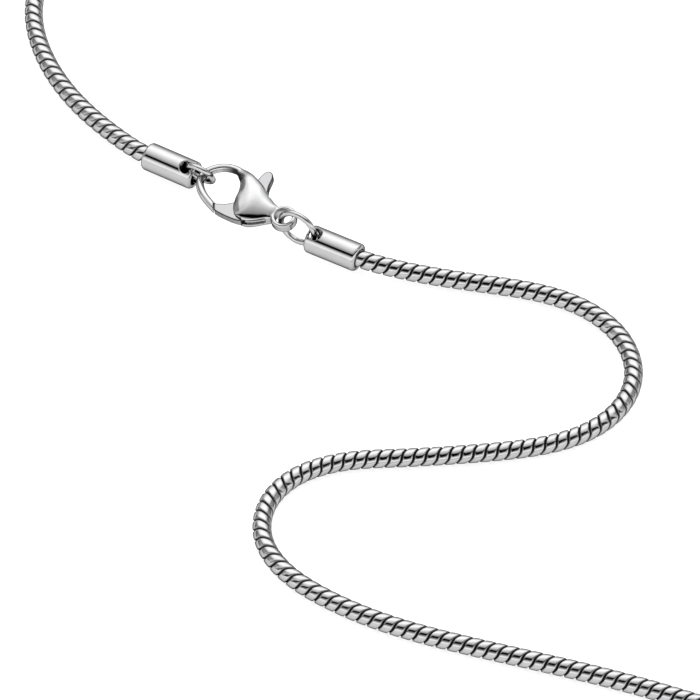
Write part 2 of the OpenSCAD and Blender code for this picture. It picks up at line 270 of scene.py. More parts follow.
# Voxels and rounds of smoothing that fuse the shells, the whole body and the lever.
SHELL_VOXEL = 0.03
BODY_VOXEL = 0.049
BODY_ROUNDS = 8
LEVER_VOXEL = 0.04
LEVER_ROUNDS = 16

# Painted shade and dark reflection on the clasp, each as places and how dark it is there.
# At the foot of the shells beside the gate, a painted shadow: by height off the middle plane,
# inside a box in x and y.
FOOT_HEIGHTS = ([0.48, 0.52, 0.66, 0.74], [0, 0.95, 0.95, 0])
FOOT_X = (-1.8, 0.9)
FOOT_Y = 1.0
# In the crook of the hook, painted shade and dark reflection: by how much the skin faces
# HOOK_MIDDLE, by x and by y.
HOOK_MIDDLE = np.array([-3.4, 0.3])
CROOK_FACING = ([0.2, 0.5], [0, 0.94])
CROOK_X = ([-4.9, -3.5, -1.9, -1.4], [0, 1, 1, 0])
CROOK_Y = ([0.9, 1.4], [0, 1])
# A painted dark reflection on the lever's rounded edges, as an outline: by how much the skin
# faces up or down.
EDGE_FACING = ([0.08, 0.2, 0.985, 0.9995], [0.0, 0.9, 0.9, 0.0])


# ---------------------------------------------------------------- mesh tools
def place(at, yaw, roll=0.0):
    """Matrix from a piece's own frame to the part's frame, in millimetres."""
    return (Matrix.Translation(Vector(at))
            @ Matrix.Rotation(math.radians(yaw), 4, "Z")
            @ Matrix.Rotation(math.radians(roll), 4, "X"))


def new_object(name, verts, faces, matrix=None):
    """A smooth mesh object from points in millimetres."""
    verts = np.asarray(verts, float)
    if matrix is not None:
        m = np.array(matrix)
        verts = verts @ m[:3, :3].T + m[:3, 3]
    mesh = bpy.data.meshes.new(name)
    mesh.from_pydata((verts * MM).tolist(), [], faces)
    mesh.polygons.foreach_set("use_smooth", [True] * len(mesh.polygons))
    obj = bpy.data.objects.new(name, mesh)
    bpy.context.scene.collection.objects.link(obj)
    return obj


def clean(obj, distance=1e-6):
    """Joins doubled points and turns the faces outwards."""
    bm = bmesh.new()
    bm.from_mesh(obj.data)
    bmesh.ops.remove_doubles(bm, verts=bm.verts, dist=distance)
    bmesh.ops.recalc_face_normals(bm, faces=bm.faces)
    bm.to_mesh(obj.data)
    bm.free()
    obj.data.update()
    return obj


def shade_points(obj, values):
    """Stores how dark each point of a mesh is painted, as painted shade and dark reflection."""
    shade = obj.data.attributes.new("groove", "FLOAT", "POINT")
    shade.data.foreach_set("value", np.asarray(values, float))


def circle_angles(sides):
    """Angles of a full turn, in radians."""
    return np.linspace(0, 2 * np.pi, sides, endpoint=False)


def grid_faces(rows, columns, wrap_rows=False):
    """Quads over a grid of points stored row by row; its columns close to a ring."""
    last_row = rows if wrap_rows else rows - 1
    faces = []
    for i in range(last_row):
        for j in range(columns):
            a = i * columns + j
            b = i * columns + (j + 1) % columns
            c = ((i + 1) % rows) * columns + (j + 1) % columns
            d = ((i + 1) % rows) * columns + j
            faces.append((a, b, c, d))
    return faces


def tube_faces(rows, columns):
    """Quads of an open grid, and a flat face at either end."""
    ends = [tuple(range(columns))[::-1], tuple(range((rows - 1) * columns, rows * columns))]
    return grid_faces(rows, columns) + ends


def round_curve(points, steps, closed=False):
    """Smooth curve through points."""
    p = np.asarray(points, float)
    n = len(p)
    out = []
    spans = n if closed else n - 1
    for i in range(spans):
        if closed:
            a, b, c, d = (p[(i + k - 1) % n] for k in range(4))
        else:
            b, c = p[i], p[i + 1]
            a = p[i - 1] if i else 2 * b - c
            d = p[i + 2] if i + 2 < n else 2 * c - b
        for k in range(steps):
            t = k / steps
            out.append(0.5 * (2 * b + (c - a) * t + (2 * a - 5 * b + 4 * c - d) * t * t
                              + (3 * b - a - 3 * c + d) * t ** 3))
    if not closed:
        out.append(p[-1])
    return np.array(out)


def modifier(obj, kind, **settings):
    """Adds a modifier and applies it."""
    mod = obj.modifiers.new(kind.lower(), kind)
    for key, value in settings.items():
        setattr(mod, key, value)
    bpy.context.view_layer.objects.active = obj
    for other in bpy.context.selected_objects:
        other.select_set(False)
    obj.select_set(True)
    bpy.ops.object.modifier_apply(modifier=mod.name)


def boolean(obj, tool, operation="DIFFERENCE"):
    """Combines obj with a tool, which is used up."""
    modifier(obj, "BOOLEAN", object=tool, operation=operation, solver="EXACT")
    bpy.data.objects.remove(tool)


def prism(name, outline, low, high):
    """Closed solid over a plane outline."""
    outline = np.asarray(outline, float)
    n = len(outline)
    verts = np.vstack([np.c_[outline, np.full(n, low)], np.c_[outline, np.full(n, high)]])
    faces = [tuple(range(n))[::-1], tuple(range(n, 2 * n))]
    faces += [(i, (i + 1) % n, n + (i + 1) % n, n + i) for i in range(n)]
    return clean(new_object(name, verts, faces))


def disc(name, x, radius, low, high, sides=96):
    """Upright cylinder around a point of the X axis."""
    angle = circle_angles(sides)
    return prism(name, np.c_[x + radius * np.cos(angle), radius * np.sin(angle)], low, high)


def sector(name, start, stop, reach, points, half):
    """Slice of a cylinder around the pivot, between two places around it."""
    angle = np.radians(np.linspace(start, stop, points))
    rim = np.c_[PIVOT_X + reach * np.cos(angle), reach * np.sin(angle)]
    return prism(name, np.vstack([[(PIVOT_X, 0)], rim]), -half, half)


def revolve(name, profile, sides, at_x, turn, closed=False):
    """Turns points (along, radius) around an upright axis at a point of the X axis.

    turn is 90 or -90 and says which end of the profile is up.
    """
    matrix = Matrix.Translation((at_x, 0, 0)) @ Matrix.Rotation(math.radians(turn), 4, "Y")
    verts = [(x, r * math.cos(a), r * math.sin(a)) for x, r in profile
             for a in circle_angles(sides)]
    return clean(new_object(name, verts, grid_faces(len(profile), sides, closed), matrix))


def join(name, objects):
    """Puts several meshes into one object."""
    bm = bmesh.new()
    for obj in objects:
        bm.from_mesh(obj.data)
    mesh = bpy.data.meshes.new(name)
    bm.to_mesh(mesh)
    bm.free()
    for obj in objects:
        bpy.data.objects.remove(obj)
    out = bpy.data.objects.new(name, mesh)
    bpy.context.scene.collection.objects.link(out)
    return out


def melt(obj, voxel, rounds=0):
    """Fuses overlapping solids into one skin and rounds its edges."""
    modifier(obj, "REMESH", mode="VOXEL", voxel_size=voxel * MM, use_smooth_shade=True)
    bm = bmesh.new()
    bm.from_mesh(obj.data)
    for _ in range(rounds):
        bmesh.ops.smooth_vert(bm, verts=bm.verts, factor=0.5,
                              use_axis_x=True, use_axis_y=True, use_axis_z=True)
    bm.to_mesh(obj.data)
    bm.free()
    obj.data.polygons.foreach_set("use_smooth", [True] * len(obj.data.polygons))


def ease(value):
    """Soft step from 0 to 1 as the value goes from 0 to 1."""
    t = np.clip(value, 0, 1)
    return t * t * (3 - 2 * t)


# ---------------------------------------------------------------- shader tools
def node(tree, kind, inputs=None, **settings):
    """A new node. Each input is a number, a colour or another node's output."""
    item = tree.nodes.new(kind)
    for key, value in settings.items():
        setattr(item, key, value)
    for key, value in (inputs or {}).items():
        if isinstance(value, bpy.types.NodeSocket):
            tree.links.new(value, item.inputs[key])
        else:
            item.inputs[key].default_value = value
    return item


def calc(tree, operation, *values):
    """Output of a Math node."""
    inputs = dict(enumerate(values))
    return node(tree, "ShaderNodeMath", inputs, operation=operation).outputs[0]


def ranged(tree, value, source, target=(0.0, 1.0), **settings):
    """Output of a Map Range node from one pair of limits to another."""
    inputs = {"Value": value, "From Min": source[0], "From Max": source[1],
              "To Min": target[0], "To Max": target[1]}
    return node(tree, "ShaderNodeMapRange", inputs, **settings).outputs[0]


# Sockets of a Mix node, for each kind of data: its two values and its output.
MIX_SOCKETS = {"FLOAT": (2, 3, 0), "RGBA": (6, 7, 2)}


def mix(tree, kind, share, first, second):
    """Output of a blend of two numbers or two colours."""
    a, b, out = MIX_SOCKETS[kind]
    inputs = {0: share, a: first, b: second}
    return node(tree, "ShaderNodeMix", inputs, data_type=kind).outputs[out]


# ---------------------------------------------------------------- materials
# Soft clouds: size, the part of the noise that counts, and how far they change the
# steel's roughness and its colour.
CLOUDS = {"Scale": 900.0, "Detail": 3.0, "Roughness": 0.6}
CLOUD_RANGE = (0.3, 0.7)
CLOUD_GLOSS = (0.75, 1.35)
CLOUD_TINT = (0.965, 1.035)
# Hairline scratches: a noise drawn out along one way, and the height of its bumps.
SCRATCH_STRETCH = {"Scale": (1500.0, 9000.0, 4000.0), "Rotation": (0.3, 0.2, 0.9)}
SCRATCH_NOISE = {"Scale": 1.0, "Detail": 2.0, "Roughness": 0.5}
SCRATCH_HEIGHT = 0.00002
# Near black painted in as shade and dark reflection, and its roughness there.
SHADE_PAINT = (0.012, 0.012, 0.013, 1.0)
SHADE_PAINT_ROUGHNESS = 0.6


def steel(name, base, roughness, scratch):
    """Polished steel: soft clouds in its gloss, hairline scratches, and near-black painted
    shade and dark reflection where the mesh's attribute groove has it."""
    material = bpy.data.materials.new(name)
    material.use_nodes = True
    tree = material.node_tree
    tree.nodes.clear()
    spot = node(tree, "ShaderNodeTexCoord").outputs["Object"]
    # how much painted shade and dark reflection each point has
    shade_paint = node(tree, "ShaderNodeAttribute", attribute_name="groove").outputs["Fac"]

    clouds = node(tree, "ShaderNodeTexNoise", {"Vector": spot, **CLOUDS}).outputs["Fac"]
    gloss = ranged(tree, clouds, CLOUD_RANGE, [roughness * c for c in CLOUD_GLOSS])
    dim, bright = ([min(1.0, c * share) for c in base] + [1.0] for share in CLOUD_TINT)
    colour = mix(tree, "RGBA", ranged(tree, clouds, CLOUD_RANGE), dim, bright)

    stretch = node(tree, "ShaderNodeMapping", {"Vector": spot, **SCRATCH_STRETCH})
    hair = node(tree, "ShaderNodeTexNoise", {"Vector": stretch.outputs[0], **SCRATCH_NOISE})
    bump = node(tree, "ShaderNodeBump", {
        "Strength": scratch, "Distance": SCRATCH_HEIGHT, "Height": hair.outputs["Fac"]})

    shader = node(tree, "ShaderNodeBsdfPrincipled", {
        "Metallic": 1.0, "IOR": 2.5, "Specular Tint": (0.08, 0.08, 0.08, 1.0),
        "Normal": bump.outputs[0],
        "Base Color": mix(tree, "RGBA", shade_paint, colour, SHADE_PAINT),
        "Roughness": mix(tree, "FLOAT", shade_paint, gloss, SHADE_PAINT_ROUGHNESS)})
    node(tree, "ShaderNodeOutputMaterial", {0: shader.outputs[0]})
    return material


BRIGHT = (0.43, 0.43, 0.435)
SATIN = (0.34, 0.34, 0.345)
chain_steel = steel("chain_steel", BRIGHT, roughness=0.055, scratch=0.08)
fitting_steel = steel("fitting_steel", BRIGHT, roughness=0.055, scratch=0.10)
lever_steel = steel("lever_steel", SATIN, roughness=0.2, scratch=0.15)


def finish_piece(obj, body, slot, material, *nodes):
    """Gives a piece its material and its body, and hides the CAD nodes it replaces. The slot
    argument is not used.
    """
    obj.data.materials.clear()
    obj.data.materials.append(material)
    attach(obj, body)
    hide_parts(*nodes)


# ---------------------------------------------------------------- chain
def lifted(points):
    """Route points in millimetres, lifted off the floor by their share."""
    p = np.array(points, float)
    lift = CAP_R - CHAIN_R
    return np.c_[p[:, 0] / MM, p[:, 1] / MM, CHAIN_R + p[:, 2] * lift]


def end_points(x, y, yaw):
    """Route points of a straight end, from inside its cap outwards."""
    way = np.array([math.cos(math.radians(yaw)), math.sin(math.radians(yaw))])
    start = CAP_LENGTH - CHAIN_INSERT
    return np.array([[*(np.array([x, y]) + way * (start + s * CHAIN_INSERT)), CAP_R]
                     for s in END_SHARES])


right_end = end_points(*CAP_RIGHT[:3])
left_end = end_points(*CAP_LEFT[:3])
route = np.vstack([right_end, lifted(FRONT_ROUTE), lifted(BACK_ROUTE), left_end[::-1]])
join_index = len(right_end) + len(FRONT_ROUTE)
last_index = len(route) - 1
# The route with the points beyond its ends that make the curve meet them.
held = np.vstack([2 * route[0] - route[1], route, 2 * route[-1] - route[-2],
                  2 * route[-1] - route[-2]])


def chain_curve(u):
    """Middle line and its direction at places counted in route points.

    It is the uniform cubic B-spline that the part's source uses.
    """
    i = np.clip(np.floor(u).astype(int), 0, last_index - 1)
    t = (u - i)[:, None]
    a, b, c, d = (held[i + k] for k in range(4))
    at = ((1 - t) ** 3 * a + (3 * t ** 3 - 6 * t ** 2 + 4) * b
          + (3 * t + 3 * t ** 2 - 3 * t ** 3 + 1) * c + t ** 3 * d) / 6
    way = (-(1 - t) ** 2 * a + (3 * t ** 2 - 4 * t) * b
           + (1 + 2 * t - 3 * t ** 2) * c + t ** 2 * d) / 2
    return at, way / np.linalg.norm(way, axis=1)[:, None]


# Lengths along the chain at many places, counted in route points.
fine_u = np.linspace(0, last_index, last_index * CURVE_STEPS + 1)
fine_at, _ = chain_curve(fine_u)
fine_s = np.r_[0, np.cumsum(np.linalg.norm(np.diff(fine_at, axis=0), axis=1))]
chain_length = fine_s[-1]
join_length = float(np.interp(join_index, fine_u, fine_s))


def chain_piece(name, first_row, last_row):
    """A stretch of the chain's skin between two rows of the wound grid.

    A row runs once around the chain while it goes LEAD along, and ends where the
    row TURN_ROWS later starts.
    """
    rows = np.arange(first_row, last_row + TURN_ROWS + 1)
    link_no, part = np.divmod(rows, LINK_ROWS)
    profile = np.array(LINK_PROFILE)
    start = link_no * PITCH + profile[part, 0]
    radius = CHAIN_R + profile[part, 1]
    turn = (CHAIN_ANGLES + 90.0) / 360.0
    wave = GROOVE_WAVE * np.sin(4 * np.radians(CHAIN_ANGLES - SHOULDERS[0]))
    s_all = start[:, None] + (LEAD * turn - wave)[None, :]
    s = np.clip(s_all, 0, chain_length)
    at, way = chain_curve(np.interp(s.ravel(), fine_s, fine_u))
    side = np.cross(way, Z)
    side /= np.linalg.norm(side, axis=1)[:, None]
    up = np.cross(side, way)
    angle = np.tile(np.radians(CHAIN_ANGLES), len(rows))
    dip = sum(np.exp(-((CHAIN_ANGLES - a) / SHOULDER_WIDTH) ** 2 / 2) for a in SHOULDERS)
    r = (radius[:, None] - SHOULDER_DIP * dip[None, :]).ravel()
    verts = at + r[:, None] * (np.cos(angle)[:, None] * side + np.sin(angle)[:, None] * up)
    inside = (s_all >= 0) & (s_all <= chain_length)
    faces = []
    n = len(CHAIN_ANGLES)
    for i in range(last_row - first_row):
        for j in range(n):
            k, m = (i, j + 1) if j < n - 1 else (i + TURN_ROWS, 0)
            corners = ((i, j), (k, m), (k + 1, m), (i + 1, j))
            if any(inside[c] for c in corners):
                faces.append(tuple(a * n + b for a, b in corners))
    obj = new_object(name, verts, faces)
    # painted shade in the grooves
    shade_points(obj, np.repeat(np.array(GROOVE_SHADE)[part], n))
    bm = bmesh.new()
    bm.from_mesh(obj.data)
    loose = [v for v in bm.verts if not v.link_faces]
    bmesh.ops.delete(bm, geom=loose, context="VERTS")
    bmesh.ops.remove_doubles(bm, verts=bm.verts, dist=CHAIN_JOINT)
    bmesh.ops.holes_fill(bm, edges=[e for e in bm.edges if e.is_boundary], sides=0)
    bmesh.ops.triangulate(bm, faces=[f for f in bm.faces if len(f.verts) > 4])
    bmesh.ops.recalc_face_normals(bm, faces=bm.faces)
    bm.to_mesh(obj.data)
    bm.free()
    return obj


start_row = -LINKS_BEFORE * LINK_ROWS
join_row = int(round(join_length / PITCH)) * LINK_ROWS
end_row = (int(math.ceil(chain_length / PITCH)) + 1) * LINK_ROWS
finish_piece(chain_piece("chain_front_links", start_row, join_row),
             "necklace", "chain_steel", chain_steel, "chain_front")
finish_piece(chain_piece("chain_back_links", join_row, end_row),
             "necklace", "chain_steel", chain_steel, "chain_back")


# ---------------------------------------------------------------- end caps
def cap_profile():
    """The tube's closed profile, and its outer and bore stretches.

    Each is rows of place along, radius and running length. The profile starts in
    the bore at the ring end, and runs over the outside and back through the bore.
    Both stretches run away from the ring end.
    """
    arc = np.linspace(0, np.pi / 2, ARC_POINTS)
    inner = [(BORE_ROUND - BORE_ROUND * math.sin(a),
              CAP_BORE_R + BORE_ROUND - BORE_ROUND * math.cos(a)) for a in arc]
    outer = [(CAP_ROUND - CAP_ROUND * math.cos(a),
              CAP_R - CAP_ROUND + CAP_ROUND * math.sin(a)) for a in arc]
    outside = [(x, CAP_R)
               for x in np.linspace(OUTSIDE_FROM, CAP_LENGTH - OUTSIDE_FROM, CAP_POINTS)]
    far_end = [(CAP_LENGTH - x, r) for x, r in (inner + outer)[::-1]]
    bore = [(x, CAP_BORE_R) for x in np.linspace(CAP_LENGTH - BORE_FROM, BORE_FROM, CAP_POINTS)]
    loop = inner + outer + outside + far_end + bore
    p = np.array(loop + [loop[0]])
    run = np.r_[0, np.cumsum(np.linalg.norm(np.diff(p, axis=0), axis=1))]
    profile = np.c_[p, run]
    first = len(inner) - 1
    skin = profile[first:first + len(outer) + len(outside)]
    skin = skin[np.r_[True, np.diff(skin[:, 0]) > 1e-9]]
    return profile, skin, profile[-1 - len(bore):-1][::-1]


def run_at(skin, x):
    """Running length of a stretch at a place along it."""
    return np.interp(x, skin[:, 0], skin[:, 2])


def radius_at(skin, x):
    """Radius of a stretch at a place along it."""
    return np.interp(x, skin[:, 0], skin[:, 1])


def hole_wall(skin, tilt):
    """Rings of points on the rounded rim and the straight wall of the side hole."""
    wide = HOLE_R + HOLE_RIM
    phi = circle_angles(HOLE_SIDES)
    top = np.sqrt(radius_at(skin, HOLE_X + wide * np.cos(phi)) ** 2
                  - (wide * np.sin(phi)) ** 2)
    rings = []
    for t in np.linspace(0, np.pi / 2, RIM_RINGS):
        r = wide - HOLE_RIM * math.sin(t)
        rings.append(np.c_[HOLE_X + r * np.cos(phi), r * np.sin(phi),
                           top - HOLE_RIM * (1 - math.cos(t))])
    rim_foot = rings[-1]
    low = np.sqrt(CAP_BORE_R ** 2 - (HOLE_R * np.sin(phi)) ** 2)
    for share in WALL_SHARES:
        ring = rim_foot.copy()
        ring[:, 2] += (low - ring[:, 2]) * share
        rings.append(ring)
    wall = np.array(rings).reshape(-1, 3)
    c, s = math.cos(tilt), math.sin(tilt)
    return np.c_[wall[:, 0], wall[:, 1] * c - wall[:, 2] * s, wall[:, 1] * s + wall[:, 2] * c]


def cap(name, x, y, yaw, lean):
    """An open tube with rounded ends and a side hole near its ring end."""
    profile, skin, bore = cap_profile()
    whole = profile[-1, 2]
    gaps = [(skin[0, 2], run_at(skin, PATCH_OUTSIDE)),
            tuple(run_at(bore, end) for end in PATCH_BORE)]
    marks = sorted({0.0, *gaps[0], *gaps[1], whole})
    sigma = np.concatenate([
        np.linspace(a, b, max(2, int(round((b - a) / CAP_ROW))), endpoint=False)
        for a, b in zip(marks[:-1], marks[1:])])
    middle = math.radians(90.0 + lean)
    half = math.radians(PATCH_HALF)
    theta = np.concatenate([
        np.linspace(middle - half, middle + half, PATCH_COLUMNS, endpoint=False),
        np.linspace(middle + half, middle - half + 2 * np.pi, REST_COLUMNS, endpoint=False)])

    def at(length, angle):
        """Points of the tube's skin."""
        length = np.asarray(length, float) % whole
        along = np.interp(length, profile[:, 2], profile[:, 0])
        r = np.interp(length, profile[:, 2], profile[:, 1])
        return np.stack([along, r * np.cos(angle), r * np.sin(angle)], axis=-1)

    rows, columns = len(sigma), len(theta)
    verts = [at(np.repeat(sigma, columns), np.tile(theta, rows))]
    gap_rows = [tuple(int(np.argmin(np.abs(sigma - end))) for end in gap) for gap in gaps]
    faces = []
    for i in range(rows):
        in_gap = any(first <= i < last for first, last in gap_rows)
        for j in range(columns):
            if not (in_gap and j < PATCH_COLUMNS):
                below, right = (i + 1) % rows, (j + 1) % columns
                faces.append((i * columns + j, i * columns + right,
                              below * columns + right, below * columns + j))

    def patch(first, last, stretch, radius):
        """Skin between the square gap of two rows and the round hole."""
        border = [(first, j) for j in range(PATCH_COLUMNS)]
        border += [(i, PATCH_COLUMNS) for i in range(first, last)]
        border += [(last, j) for j in range(PATCH_COLUMNS, 0, -1)]
        border += [(i, 0) for i in range(last, first, -1)]
        edge_run = np.array([sigma[i] for i, _ in border])
        edge_angle = np.array([theta[j] for _, j in border])
        hole_run = run_at(stretch, HOLE_X)
        bearing = np.unwrap(np.arctan2((edge_angle - middle) * CAP_R, edge_run - hole_run))
        sign = 1.0 if run_at(stretch, HOLE_X + 0.1) > hole_run else -1.0
        rim_x = HOLE_X + sign * radius * np.cos(bearing)
        rim_run = run_at(stretch, rim_x)
        rim_angle = middle + np.arcsin(
            np.clip(radius * np.sin(bearing) / radius_at(stretch, rim_x), -1, 1))
        share = (np.linspace(0, 1, PATCH_LAYERS + 1) ** PATCH_CROWDING)[:, None]
        points = at(rim_run + (edge_run - rim_run) * share,
                    rim_angle + (edge_angle - rim_angle) * share)
        offset, n = sum(map(len, verts)), len(border)
        verts.append(points.reshape(-1, 3))
        faces.extend(tuple(offset + v for v in f) for f in grid_faces(PATCH_LAYERS + 1, n))

    patch(*gap_rows[0], skin, HOLE_R + HOLE_RIM)
    patch(*gap_rows[1], bore, HOLE_R)
    offset = sum(map(len, verts))
    wall = hole_wall(skin, middle - np.pi / 2)
    faces += [tuple(offset + v for v in f)
              for f in grid_faces(len(wall) // HOLE_SIDES, HOLE_SIDES)]
    verts.append(wall)
    at_end = place((x, y, CAP_R), yaw)
    return clean(new_object(name, np.vstack(verts), faces, at_end), CAP_JOINT)


finish_piece(cap("cap_left_tube", *CAP_LEFT),
             "necklace", "fitting_steel", fitting_steel, "cap_left")
finish_piece(cap("cap_right_tube", *CAP_RIGHT),
             "necklace", "fitting_steel", fitting_steel, "cap_right")


# ---------------------------------------------------------------- jump rings
def jump_ring(name, x, y, z, yaw, lean, radius):
    """A round wire ring with the hairline of its closed ends."""
    a = circle_angles(RING_AROUND)
    b = circle_angles(RING_ACROSS)
    away = np.abs((a - math.radians(RING_CUT) + np.pi) % (2 * np.pi) - np.pi) * radius
    wire = WIRE_R - CUT_DEPTH * np.exp(-(away / CUT_HALF) ** 2)
    ring = radius + wire[:, None] * np.cos(b)[None, :]
    verts = np.stack([ring * np.cos(a)[:, None], ring * np.sin(a)[:, None],
                      wire[:, None] * np.sin(b)[None, :]], axis=-1).reshape(-1, 3)
    faces = grid_faces(RING_AROUND, RING_ACROSS, wrap_rows=True)
    return clean(new_object(name, verts, faces, place((x, y, z), yaw, 90 + lean)))


finish_piece(jump_ring("ring_left_wire", *RING_LEFT),
             "necklace", "fitting_steel", fitting_steel, "ring_left")
finish_piece(jump_ring("ring_right_wire", *RING_RIGHT),
             "necklace", "fitting_steel", fitting_steel, "ring_right")


# ---------------------------------------------------------------- clasp
clasp_place = place(CLASP_AT, CLASP_YAW, CLASP_ROLL)


def to_place(obj):
    """Moves a mesh made in the clasp's frame to the part's frame."""
    m = clasp_place.copy()
    m.translation = clasp_place.translation * MM
    obj.data.transform(m)
    return obj


def crown_height(points, outline, width, power, lean):
    """Height of a soft crown over an outline, 0 at its edge and 1 at its widest."""
    edge = round_curve(outline, CROWN_STEPS, closed=True)
    step = np.linalg.norm(np.roll(edge, -1, axis=0) - edge, axis=1)
    apart = np.linalg.norm(points[:, None, :] - edge[None, :, :], axis=2)
    # a depth below the edge that is smooth everywhere, as all of the edge adds to it
    depth = (0.5 * (step[None, :] / np.maximum(apart, 1e-4) ** 3).sum(axis=1)) ** -0.5
    share = np.clip(depth / (width - lean * points[:, 1]), 0, 1)
    return (1 - (1 - share) ** power) ** (1 / power)


def body_pillow():
    """The clasp's body as one pillow-shaped solid."""
    outline = round_curve(BODY_OUTLINE, BODY_STEPS, closed=True)
    share = np.clip((outline[:, 0] - SPINE_FRONT[0]) / (SPINE_REAR[0] - SPINE_FRONT[0]), 0, 1)
    spine = SPINE_FRONT + share[:, None] * (SPINE_REAR - SPINE_FRONT)
    upper, under = [], []
    for a in CROWN_ANGLES:
        q = spine + math.cos(math.radians(a)) * (outline - spine)
        fade = ease((q[:, 0] - FADE_START) / (SPINE_REAR[0] - FADE_START))
        fall = ease((q[:, 0] - RIM_FALL[0]) / RIM_FALL[1])
        horn = ease(np.clip((HORN_X - q[:, 0]) / HORN_LENGTH, 0, 1)
                    * np.clip(q[:, 1] - HORN_Y, 0, 1))
        for rings, crown, rim, sign in (
                (upper, CROWN_UPPER, RIM_GATE + (RIM_TAIL - RIM_GATE) * fall, 1),
                (under, CROWN_UNDER, RIM_UNDER, -1)):
            rise = crown_height(q, outline, *crown) if a else np.zeros(len(q))
            z = (rim * (1 - (1 - TAIL_SHARE) * fade) * (1 - HORN_RIM * horn)
                 + (BODY_TOP - rim) * rise * (1 - FADE_BULGE * fade) * (1 - HORN_BULGE * horn))
            rings.append(np.c_[q, sign * z])
    rows = upper[::-1] + under
    return clean(new_object("body_pillow", np.vstack(rows), tube_faces(len(rows), len(outline))))


def seam_cutter():
    """A band along the body's edge that parts its two shells on the gate's side."""
    outer = round_curve(BODY_OUTLINE, BODY_STEPS, closed=True)
    way = np.roll(outer, -1, axis=0) - np.roll(outer, 1, axis=0)
    way /= np.linalg.norm(way, axis=1)[:, None]
    left = np.c_[-way[:, 1], way[:, 0]]
    part = (outer[:, 1] < 0) & (outer[:, 0] > SEAM_FROM) & (outer[:, 0] < SEAM_TO)
    inner = (outer + left * SEAM_INSET)[part]
    away = (outer - left * SEAM_INSET)[part]
    return prism("seam", np.vstack([inner, away[::-1]]), -SEAM_HALF, SEAM_HALF)


def hook_wire():
    """The hook as a rounded wire along its route, cut clear of the gate."""
    line = round_curve(HOOK_ROUTE, HOOK_STEPS)
    way = np.gradient(line, axis=0)
    way /= np.linalg.norm(way, axis=1)[:, None]
    side = np.c_[way[:, 1], -way[:, 0]]
    b = circle_angles(HOOK_SIDES)
    u, w = np.cos(b) * HOOK_W / 2, np.sin(b) * HOOK_T / 2
    verts = []
    for c, d in zip(line, side):
        verts += [(c[0] + a * d[0], c[1] + a * d[1], h) for a, h in zip(u, w)]
    wire = clean(new_object("hook_wire", verts, tube_faces(len(line), HOOK_SIDES)))
    reach = GATE_REACH + TIP_GAP
    boolean(wire, sector("tip_cut", *HOOK_CUT, reach, HOOK_CUT_POINTS, PAST_BODY))
    return wire


def eye_ring():
    """The eye: a flat ring with round edges, its axis along the clasp's Z."""
    mid_r, half_w, half_t = (EYE_R + EYE_HOLE_R) / 2, (EYE_R - EYE_HOLE_R) / 2, EYE_T / 2
    profile = []
    for k in range(EYE_SECTION):
        a = 2 * math.pi * k / EYE_SECTION
        along = math.copysign(half_t - half_w, math.cos(a))
        profile.append((along + half_w * math.cos(a), mid_r + half_w * math.sin(a)))
    return revolve("eye_ring", profile, EYE_SIDES, EYE_X, 90, closed=True)


def clasp_body():
    """Two shells around the lever's slots, with hook and eye, in one skin."""
    pillow = body_pillow()
    for start, stop in SLOTS:
        boolean(pillow, sector("slot", start, stop, SLOT_REACH, SLOT_POINTS, SLOT_T / 2))
    melt(pillow, SHELL_VOXEL)
    boolean(pillow, disc("hub_room", PIVOT_X, HUB_R + HUB_ROOM, -SLOT_T / 2, SLOT_T / 2))
    boolean(pillow, seam_cutter())
    boolean(pillow, disc("pin_bore", PIVOT_X, PIN_R + PIN_FIT, PIN_BORE_LOW, PIN_LENGTH / 2))
    boolean(pillow, disc("eye_room", EYE_X, EYE_HOLE_R, -PAST_BODY, PAST_BODY))
    body = join("clasp_body_shell", [pillow, hook_wire(), eye_ring()])
    melt(body, BODY_VOXEL, BODY_ROUNDS)
    at = np.array([v.co for v in body.data.vertices]) / MM
    out = np.array([v.normal for v in body.data.vertices])
    # painted shadow at the foot of the shells beside the gate
    foot_shadow = (np.interp(np.abs(at[:, 2]), *FOOT_HEIGHTS)
            * (at[:, 0] > FOOT_X[0]) * (at[:, 0] < FOOT_X[1]) * (at[:, 1] < FOOT_Y))
    # painted shade and dark reflection in the crook of the hook
    inward = HOOK_MIDDLE - at[:, :2]
    inward /= np.linalg.norm(inward, axis=1)[:, None]
    crook_shade = (np.interp((out[:, :2] * inward).sum(axis=1), *CROOK_FACING)
             * np.interp(at[:, 0], *CROOK_X) * np.interp(at[:, 1], *CROOK_Y))
    shade_points(body, np.maximum(foot_shadow, crook_shade))
    return to_place(body)


def clasp_lever():
    """Gate, thumb tab and hub as one plate with rounded edges."""
    plate = (-LEVER_T / 2, LEVER_T / 2)
    gate = prism("gate", round_curve(GATE_OUTLINE, LEVER_STEPS, closed=True), *plate)
    gate_room = disc("gate_room", PIVOT_X, GATE_REACH, -PAST_PLATE, PAST_PLATE, GATE_SIDES)
    boolean(gate, gate_room, "INTERSECT")
    tab = prism("tab", round_curve(TAB_OUTLINE, LEVER_STEPS, closed=True), *plate)
    hub = disc("hub", PIVOT_X, HUB_R, *plate)
    lever = join("clasp_lever_plate", [gate, tab, hub])
    melt(lever, LEVER_VOXEL)
    boolean(lever, disc("pin_room", PIVOT_X, PIN_R + PIN_PLAY, -PAST_PLATE, PAST_PLATE))
    melt(lever, LEVER_VOXEL, LEVER_ROUNDS)
    # painted dark reflection on the lever's rounded edges, as an outline
    up = np.abs([v.normal.z for v in lever.data.vertices])
    shade_points(lever, np.interp(up, *EDGE_FACING))
    return to_place(lever)


